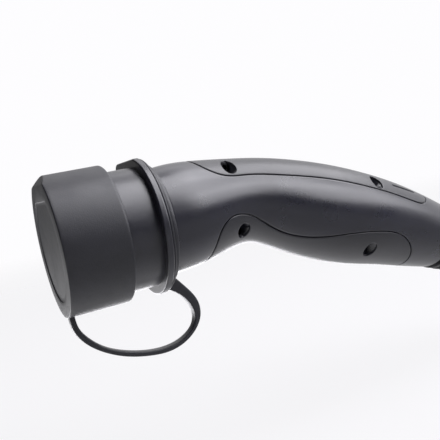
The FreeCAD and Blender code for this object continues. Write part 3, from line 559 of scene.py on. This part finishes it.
def grip_skin(name, side, top, node):
    """An inlay: the part of the sheet inside its edge, with walls down to the shell."""
    func = upper_depth if top else lower_depth
    bm = flat_sheet(side)
    cut_levels(bm, func, (GAP, GAP + 0.02, GAP + 0.08, GAP + 0.22, GAP + 0.45, GAP + 0.7))
    if side < 0:
        cut_levels(bm, hole_depth, (-HOLE_EDGE, -0.12, 0.0))
        if top:
            cut_levels(bm, slot_depth, (-SLOT_EDGE, -0.1, 0.0, 0.02))
    cut_levels(bm, seam_gap, (0.12, 0.32))
    co = np.array([f.calc_center_median() for f in bm.faces])
    out = (func(co) < GAP) | (hole_depth(co) > 0)
    bmesh.ops.delete(bm, geom=[f for f, o in zip(bm.faces, out) if o], context="FACES")
    rim = [e for e in bm.edges if e.is_boundary]
    made = bmesh.ops.extrude_edge_only(bm, edges=rim)
    walls = {v for v in made["geom"] if isinstance(v, bmesh.types.BMVert)}

    def inset(co):
        deep = edge_drop(GAP - func(co), INLAY_EDGE, INLAY_DROP)
        deep = np.maximum(deep, edge_drop(hole_depth(co), HOLE_EDGE, HOLE_DROP))
        if top:
            groove = slot_depth(co)
            edge = edge_drop(groove, SLOT_EDGE, SLOT_DROP)
            deep = np.maximum(deep, np.where(groove > PAST_EDGE, SLOT_DEPTH, edge))
        deep = np.maximum(deep, seam_drop(co))
        return np.where([v in walls for v in bm.verts], INLAY, deep)

    place(bm, side, inset)
    obj = piece(name, bm, "grip_rubber")
    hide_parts(node)
    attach(obj, "connector")


shell_skin("handle_shell_left", -1, "shell_left")
shell_skin("handle_shell_right", 1, "shell_right")
grip_skin("inlay_top_left", -1, True, "grip_top_left")
grip_skin("inlay_top_right", 1, True, "grip_top_right")
grip_skin("inlay_bottom_left", -1, False, "grip_bottom_left")
grip_skin("inlay_bottom_right", 1, False, "grip_bottom_right")


# Dust cap

# x of the face, the rear and the bore's floor, and the radius of the outside and the bore
CAP_FACE = -4.1
CAP_REAR = 24.1
BORE_FLOOR = -0.3
CAP_R = 31.6
BORE_R = 28.3
# The rounding of the front and the rear rim
FRONT_RIM = 0.45
REAR_RIM = 0.8
# The face's panel: depth, radius, and how far up its flat top is
PANEL_DEPTH = 0.32
PANEL_R = 24.5
PANEL_TOP = 20.5
# The bevel at the face's top: how far down the face, how far back, and half of its soft edge
BEVEL_DOWN = 4.2
BEVEL_BACK = 3.0
BEVEL_SOFT = 0.35


def panel(shrink):
    """Radius of the face's panel all round: a circle with a flat top."""
    c = np.cos(AROUND)
    # Only the upper angles meet the flat, and the rest would divide by nothing
    upper = 0.2
    flat = np.where(c > upper, (PANEL_TOP - shrink) / np.maximum(c, upper), FAR)
    return np.minimum(PANEL_R - shrink, flat)


def dust_cap():
    """The rubber cup over the nose, from the middle of its face round to its bore's floor."""
    floor = CAP_FACE + PANEL_DEPTH
    profile = [(floor, panel(0.3) * k) for k in (0.25, 0.5, 0.75, 0.92)]
    profile += [
        (floor, panel(0.35)), (floor - 0.08, panel(0.22)), (CAP_FACE + 0.12, panel(0.12)),
        (CAP_FACE, panel(-0.1)), (CAP_FACE, 26.5), (CAP_FACE, 29.0),
    ]
    profile += [
        (CAP_FACE + FRONT_RIM * (1 - math.cos(a)), CAP_R - FRONT_RIM + FRONT_RIM * math.sin(a))
        for a in np.linspace(0, math.pi / 2, 5)
    ]
    profile += [(x, CAP_R) for x in (-2.7, -1.7, -0.7, 2.0, 8.0, 14.0, 19.0, 22.6)]
    profile += [
        (CAP_REAR - REAR_RIM + REAR_RIM * math.sin(a), CAP_R - REAR_RIM + REAR_RIM * math.cos(a))
        for a in np.linspace(0, math.pi / 2, 6)
    ]
    profile += [
        (CAP_REAR, 29.5), (CAP_REAR, 28.7), (CAP_REAR - 0.4, BORE_R), (12.0, BORE_R),
        (BORE_FLOOR, BORE_R), (BORE_FLOOR, 14.0),
    ]
    bm = turned(profile, floor, BORE_FLOOR)
    normal = np.array([-BEVEL_DOWN, 0, BEVEL_BACK]) / math.hypot(BEVEL_DOWN, BEVEL_BACK)

    def beyond(co):
        return (co - np.array([CAP_FACE, 0, CAP_R - BEVEL_DOWN])) @ normal

    cut_levels(bm, beyond, (-BEVEL_SOFT, -0.12, 0.12, BEVEL_SOFT))
    co = np.array([v.co for v in bm.verts])
    d = beyond(co)
    soft = np.clip(d + BEVEL_SOFT, 0, None) ** 2 / (4 * BEVEL_SOFT)
    push = np.where(d > BEVEL_SOFT, d, soft)
    for v, q in zip(bm.verts, co - push[:, None] * normal):
        v.co = q
    obj = piece("cap_cup", bm, "cap_rubber")
    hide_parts("dust_cap")
    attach(obj, "cap")


dust_cap()


# Tether

# The ring: x of its front and rear, and the radius of the bore, the collar, the groove's floor and
# the band behind it
RING_FRONT = 41.4
RING_REAR = 45.4
RING_BORE = 24.6
COLLAR_R = 31.5
GROOVE_R = 27.3
BAND_R = 28.4
# x of the groove's two walls
GROOVE_START = RING_FRONT + 1.12
GROOVE_END = RING_FRONT + 1.68

# The strap's middle line and half its thickness: x from the tip of the nose, z, half
STRAP_LINE = [
    (-1.6, -30.5, 1.2), (-0.8, -37.9, 1.3), (1.8, -42.6, 1.4), (9.5, -50.0, 1.15),
    (19.0, -54.9, 1.15), (29.3, -57.8, 1.1), (39.9, -58.5, 1.15), (45.15, -57.4, 1.05),
    (50.0, -55.1, 0.95), (54.0, -51.5, 1.0), (56.1, -46.7, 1.5), (55.85, -41.5, 1.95),
    (53.6, -36.7, 2.1), (50.4, -32.7, 2.4), (46.1, -28.5, 3.2), (43.9, -26.4, 3.4),
]
STRAP_HALF_WIDTH = 2.5
STRAP_CORNER = 0.55
# Where along its line the strap starts, inside the cap, and its sections
STRAP_START = 0.35
STRAP_SECTIONS = 150


def ring():
    """The band between the flange and the handle, with a dark groove behind its collar."""
    profile = [
        (RING_FRONT, RING_BORE), (RING_FRONT, COLLAR_R - 0.2), (RING_FRONT + 0.2, COLLAR_R),
        (RING_FRONT + 0.8, COLLAR_R), (RING_FRONT + 1.03, COLLAR_R - 0.1),
        (GROOVE_START, COLLAR_R - 0.4), (GROOVE_START, GROOVE_R), (GROOVE_END, GROOVE_R),
        (RING_FRONT + 1.7, 28.0), (RING_FRONT + 1.8, 28.28), (RING_FRONT + 2.1, BAND_R),
        (RING_REAR - 0.5, BAND_R), (RING_REAR - 0.15, 28.25), (RING_REAR, 27.9),
        (RING_REAR, RING_BORE),
    ]
    obj = piece("tether_band", turned(profile), "cap_rubber")
    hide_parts("tether_ring")
    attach(obj, "connector")


def strap():
    """The flat rubber loop, swept along its line with rounded edges."""
    line = Spline(STRAP_LINE)
    s = np.linspace(STRAP_START, line.length, STRAP_SECTIONS)
    mid, half = line(s)[:, :2], line(s)[:, 2]
    step = 0.05
    ahead = line(np.minimum(s + step, line.length)) - line(np.maximum(s - step, 0))
    ahead = ahead[:, :2]
    ahead /= np.hypot(*ahead.T)[:, None]
    side = np.stack([-ahead[:, 1], ahead[:, 0]], axis=1)
    shape = []
    for across, over, start in ((1, 1, 0), (-1, 1, 90), (-1, -1, 180), (1, -1, 270)):
        for a in np.radians(np.linspace(start, start + 90, 5)):
            shape.append((across, over, math.cos(a), math.sin(a)))
    rows = []
    for (x, z), n, h in zip(mid, side, half):
        row = []
        for across, over, cos_a, sin_a in shape:
            y = across * (STRAP_HALF_WIDTH - STRAP_CORNER) + cos_a * STRAP_CORNER
            t = over * (h - STRAP_CORNER) + sin_a * STRAP_CORNER
            row.append((x + n[0] * t, y, z + n[1] * t))
        rows.append(row)
    bm = rings(rows)
    bmesh.ops.holes_fill(bm, edges=bm.edges, sides=0)
    obj = piece("tether_loop", bm, "cap_rubber")
    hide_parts("tether_strap")
    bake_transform(obj)


ring()
strap()


# Screws and sockets

# A shell screw along its axis, from the middle plane: the drive's floor, the head's top, the
# shank's end
DRIVE_FLOOR = -7.0
HEAD_TOP = -8.2
SHANK_END = 8.0
HEAD_R = 3.0
SHANK_R = 1.5
# The six-lobed drive: its middle radius, and how far the lobes go either way
DRIVE_R = 1.35
LOBE = 0.22

# The narrow mouths: where they start and end along x, and y, z, inner and outer radius of each
MOUTH_START = 3.0
MOUTH_END = 4.6
MOUTHS = [(y, z, 3.4, 4.35) for y, z in ((0, 0), (17, 0), (-17, 0), (-8.8, -15), (8.8, -15))]
MOUTHS += [(y, 13.0, 1.9, 2.45) for y in (-9.75, 9.75)]


def shell_screws():
    """Four pan heads with a six-lobed drive, deep in their holes, and their shanks."""
    whole = bmesh.new()
    lobe = DRIVE_R + LOBE * np.cos(6 * AROUND)
    profile = [
        (DRIVE_FLOOR, lobe - 0.1), (DRIVE_FLOOR - 0.1, lobe), (HEAD_TOP + 0.08, lobe),
        (HEAD_TOP, lobe + 0.08), (HEAD_TOP, HEAD_R - 0.7), (HEAD_TOP + 0.1, HEAD_R - 0.35),
        (HEAD_TOP + 0.4, HEAD_R - 0.07), (HEAD_TOP + 0.8, HEAD_R), (-SCREW_SEAT, HEAD_R),
        (-SCREW_SEAT, SHANK_R), (SHANK_END - 0.4, SHANK_R), (SHANK_END, SHANK_R - 0.4),
    ]
    for x, z in SCREWS:
        bm = turned(profile, DRIVE_FLOOR, SHANK_END)
        turn = Matrix.Translation((x, 0, z)) @ Matrix.Rotation(math.pi / 2, 4, "Z")
        bmesh.ops.transform(bm, matrix=turn, verts=bm.verts)
        add_to(whole, bm)
    obj = piece("screws_in_holes", whole, "screw_black", smooth_angle=30)
    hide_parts("shell_screws")
    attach(obj, "connector")


def socket_lips():
    """The narrow mouth of each socket, in front of its contact."""
    whole = bmesh.new()
    for y, z, inner, outer in MOUTHS:
        bm = turned([
            (MOUTH_START, outer), (MOUTH_START, inner + 0.4), (MOUTH_START + 0.1, inner + 0.15),
            (MOUTH_START + 0.4, inner), (MOUTH_END, inner), (MOUTH_END, outer),
            (MOUTH_START, outer),
        ])
        bmesh.ops.translate(bm, vec=(0, y, z), verts=bm.verts)
        add_to(whole, bm)
    obj = piece("socket_mouths", whole, "carrier_plastic", smooth_angle=30)
    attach(obj, "connector")


shell_screws()
socket_lips()


# Strain relief

# Distances along the cable from the handle's end: where the boot starts inside the handle, and
# where it ends
BOOT_START = -6.3
BOOT_LENGTH = 56.0
CABLE_R = 7.4
# The collar inside the handle, and the neck that the handle's end holds
COLLAR_END, BOOT_COLLAR_R = -3.1, 15.2
NECK_END, BOOT_NECK_R = 0.1, 12.4
RIBS = 10
RIB_PITCH = 5.6
RIB_WIDTH = 2.8


def crown(t):
    """Radius over the ribs."""
    return 18.9 - 7.3 * t / BOOT_LENGTH


def root(t):
    """Radius between the ribs."""
    return 16.0 - 6.2 * t / BOOT_LENGTH


def boot():
    """The ribbed boot, turned about the cable's axis."""
    profile = [
        (BOOT_START, CABLE_R), (BOOT_START, BOOT_COLLAR_R), (COLLAR_END, BOOT_COLLAR_R),
        (COLLAR_END, BOOT_NECK_R), (NECK_END, BOOT_NECK_R), (NECK_END, root(0)),
    ]
    for k in range(1, RIBS + 1):
        end = RIB_PITCH * k
        start = end - RIB_WIDTH
        profile += [
            (start - 0.5, root(start)), (start - 0.12, root(start) + 0.12),
            (start, root(start) + 0.5), (start, crown(start) - 0.45),
            (start + 0.13, crown(start) - 0.13), (start + 0.45, crown(start)),
            (end - 0.45, crown(end)), (end - 0.13, crown(end) - 0.13), (end, crown(end) - 0.45),
        ]
        if k < RIBS:
            profile += [
                (end, root(end) + 0.5), (end + 0.12, root(end) + 0.12), (end + 0.5, root(end)),
            ]
    profile += [
        (BOOT_LENGTH, CABLE_R + 0.5), (BOOT_LENGTH - 0.4, CABLE_R), (24.0, CABLE_R),
        (BOOT_START, CABLE_R),
    ]
    bm = turned(profile)
    turn = Matrix.Translation(Vector(END)) @ Matrix.Rotation(END_TILT, 4, "Y")
    bmesh.ops.transform(bm, matrix=turn, verts=bm.verts)
    obj = piece("ribbed_boot", bm, "boot_rubber")
    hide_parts("strain_relief")
    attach(obj, "connector")


boot()


# Camera, floor and light

# Where the photo was taken from, and which way its right side and its top point
CAMERA_AT = Vector((-0.043824, -0.273303, 0.018752))
CAMERA_RIGHT = Vector((0.889, -0.414, -0.196))
CAMERA_UP = Vector((0.212, -0.009, 0.977))

LAMP_TINT = (0.96, 0.952, 1.0)
# What most lamps aim at
AIM = (0.09, 0, -0.01)
# Name, place, aim, size, power in watts
LAMPS = [
    ("softbox_near", (0.5, -0.48, 0.76), AIM, (0.6, 0.75), 4.6),
    ("softbox_top", (0.24, -0.06, 0.97), AIM, (0.45, 0.34), 1.6),
    ("softbox_right", (0.7, 0.06, 0.75), AIM, (0.55, 0.75), 3.6),
    ("softbox_low", (0.8, -0.58, 0.37), AIM, (0.9, 0.4), 3.0),
    ("back_box", (0.19, 0.4, 0.6), AIM, (0.6, 0.3), 0.5),
    ("low_strip", (0.14, 0.2, -0.104), (0.14, 0.2, 1), (0.5, 0.16), 1.0),
]

BACKDROP = (0.985, 0.98, 0.995)
FLOOR_COLOR = (0.85, 0.85, 0.88)
FLOOR_AT = (0.1, 0, -0.11)
FLOOR_R = 3.0
# Between these distances from its middle the floor fades into the world
FADE_START, FADE_END = 0.35, 1.6
# How much of the backdrop's own colour the camera sees over the lit floor
BACKDROP_SHARE = 0.85
# The floor's near side in reflections: how bright, and the y between which it brightens
NEAR_FLOOR = 0.25
NEAR_Y, FAR_Y = -0.12, 0.12
# The world's light on the object
AMBIENT = 0.08
# The world in reflections: how bright its near and its far side are, the way that leads from one
# to the other in x and y, and where along it the change starts and ends
NEAR_WORLD, FAR_WORLD = 0.04, 0.95
AWAY_X, AWAY_Y = 0.8, 0.6
AWAY_START, AWAY_END = 0.2, 0.85


def camera():
    """The photo's camera, fitted to it with the nose as the known size."""
    right = CAMERA_RIGHT.normalized()
    up = (CAMERA_UP - right * CAMERA_UP.dot(right)).normalized()
    back = right.cross(up)
    data = bpy.data.cameras.new("camera")
    data.lens = 50
    data.sensor_width = 36
    data.clip_start = 0.01
    data.clip_end = 20
    obj = bpy.data.objects.new("camera", data)
    obj.matrix_world = Matrix((
        (right.x, up.x, back.x, CAMERA_AT.x),
        (right.y, up.y, back.y, CAMERA_AT.y),
        (right.z, up.z, back.z, CAMERA_AT.z),
        (0, 0, 0, 1),
    ))
    bpy.context.scene.collection.objects.link(obj)
    bpy.context.scene.camera = obj


def area(name, place_at, aim, size, power):
    """A soft lamp that the camera doesn't see."""
    data = bpy.data.lights.new(name, "AREA")
    data.shape = "RECTANGLE"
    data.size, data.size_y = size
    data.energy = power
    data.color = LAMP_TINT
    obj = bpy.data.objects.new(name, data)
    obj.location = place_at
    obj.rotation_euler = (Vector(aim) - Vector(place_at)).to_track_quat("-Z", "Y").to_euler()
    obj.visible_camera = False
    bpy.context.scene.collection.objects.link(obj)


def seen_floor(tree, coord):
    """How much of the floor is the backdrop's own colour to a ray, and how bright that is.

    The camera sees a share of it over the lit floor, so the shadow stays. Reflections see it alone,
    and its near side is darker, as in a studio with one lit end."""
    path = tree.nodes.new("ShaderNodeLightPath")
    camera_ray = path.outputs["Is Camera Ray"]
    split = tree.nodes.new("ShaderNodeSeparateXYZ")
    tree.links.new(coord.outputs["Object"], split.inputs["Vector"])
    near = map_range(tree, split.outputs["Y"], NEAR_Y, FAR_Y, NEAR_FLOOR, 1.0, smooth=True)
    direct = socket_math(tree, "MULTIPLY", camera_ray, BACKDROP_SHARE)
    factor = socket_math(tree, "MAXIMUM", mirror_ray(tree, path), direct)
    strength = socket_math(tree, "MAXIMUM", camera_ray, near)
    return factor, strength


def studio_floor():
    """A round pale floor that takes the shadow and fades into the world."""
    bm = bmesh.new()
    bmesh.ops.create_circle(bm, cap_ends=True, segments=96, radius=FLOOR_R)
    mesh = bpy.data.meshes.new("floor")
    bm.to_mesh(mesh)
    bm.free()
    obj = bpy.data.objects.new("floor", mesh)
    obj.location = FLOOR_AT
    bpy.context.scene.collection.objects.link(obj)
    mat = bpy.data.materials.new("pale_floor")
    mat.use_nodes = True
    tree = mat.node_tree
    lit = tree.nodes["Principled BSDF"]
    lit.inputs["Base Color"].default_value = (*FLOOR_COLOR, 1)
    lit.inputs["Roughness"].default_value = 0.6
    lit.inputs["Specular IOR Level"].default_value = 0.2
    coord = tree.nodes.new("ShaderNodeTexCoord")
    factor, strength = seen_floor(tree, coord)
    pale = tree.nodes.new("ShaderNodeEmission")
    pale.inputs["Color"].default_value = (*BACKDROP, 1)
    tree.links.new(strength, pale.inputs["Strength"])
    seen = mix_shaders(tree, factor, lit.outputs["BSDF"], pale.outputs["Emission"])
    length = tree.nodes.new("ShaderNodeVectorMath")
    length.operation = "LENGTH"
    tree.links.new(coord.outputs["Object"], length.inputs[0])
    fade = map_range(tree, length.outputs["Value"], FADE_START, FADE_END, smooth=True)
    clear = tree.nodes.new("ShaderNodeBsdfTransparent")
    both = mix_shaders(tree, fade, seen, clear.outputs["BSDF"])
    tree.links.new(both, tree.nodes["Material Output"].inputs["Surface"])
    mesh.materials.append(mat)


def studio_world():
    """White to the camera. In reflections white behind the object and dark on the near side."""
    env = bpy.data.worlds.new("studio")
    bpy.context.scene.world = env
    env.use_nodes = True
    tree = env.node_tree
    tree.nodes.clear()

    def background(color, strength):
        node = tree.nodes.new("ShaderNodeBackground")
        node.inputs["Color"].default_value = (*color, 1)
        feed(tree, node.inputs["Strength"], strength)
        return node.outputs[0]

    coord = tree.nodes.new("ShaderNodeTexCoord")
    split = tree.nodes.new("ShaderNodeSeparateXYZ")
    tree.links.new(coord.outputs["Generated"], split.inputs["Vector"])
    across = socket_math(tree, "MULTIPLY", split.outputs["X"], AWAY_X)
    along = socket_math(tree, "MULTIPLY", split.outputs["Y"], AWAY_Y)
    away = socket_math(tree, "ADD", across, along)
    depth = map_range(tree, away, AWAY_START, AWAY_END, NEAR_WORLD, FAR_WORLD, smooth=True)
    path = tree.nodes.new("ShaderNodeLightPath")
    ambient = background(LAMP_TINT, AMBIENT)
    lit = mix_shaders(tree, mirror_ray(tree, path), ambient, background(BACKDROP, depth))
    both = mix_shaders(tree, path.outputs["Is Camera Ray"], lit, background(BACKDROP, 1.0))
    out = tree.nodes.new("ShaderNodeOutputWorld")
    tree.links.new(both, out.inputs["Surface"])


camera()
for lamp in LAMPS:
    area(*lamp)
studio_floor()
studio_world()

bpy.context.scene.view_settings.view_transform = "Standard"

bpy.context.view_layer.update()
